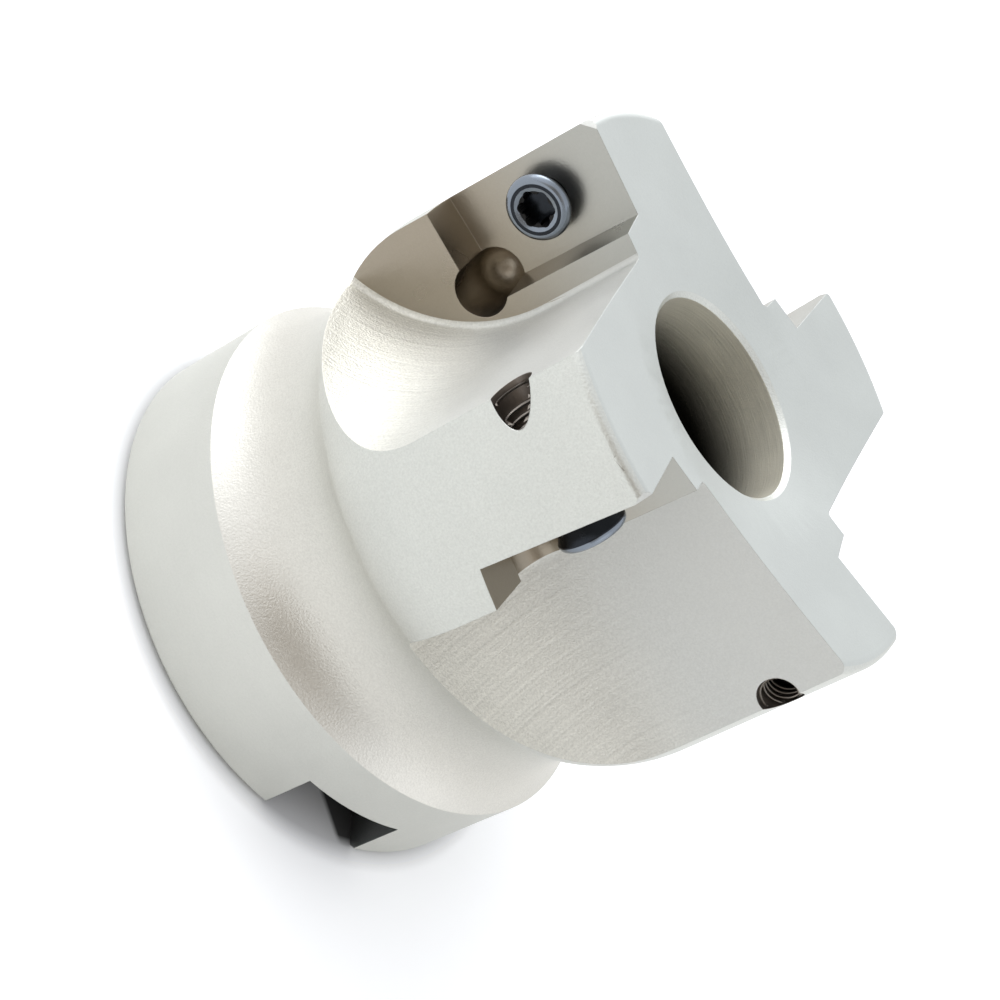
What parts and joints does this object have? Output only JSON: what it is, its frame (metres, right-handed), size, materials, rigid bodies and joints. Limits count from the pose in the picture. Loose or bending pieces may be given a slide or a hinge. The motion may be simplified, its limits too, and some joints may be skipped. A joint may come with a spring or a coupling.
{
  "type": "face mill",
  "caption": "Indexable square-shoulder face mill: waisted steel body with a driving flange, open chip flutes, and an insert screw standing in each bare insert seat.",
  "frame": {"origin": "centre of the rear flange face, which sits on the arbor's shoulder", "axes": "+Z along the arbor axis towards the cutting face; the two drive slots lie along Y"},
  "size_m": [0.0468, 0.0468, 0.0462],
  "materials": {
    "satin_nickel_steel": "tool steel with a pale satin nickel plating, milled and turned",
    "polished_dark_steel": "hardened screw steel, dark and polished"
  },
  "bodies": {
    "root": {"cutter_body": "satin_nickel_steel", "insert_screw_1": "polished_dark_steel", "insert_screw_2": "polished_dark_steel", "insert_screw_3": "polished_dark_steel", "insert_screw_4": "polished_dark_steel"}
  },
  "joints": []
}
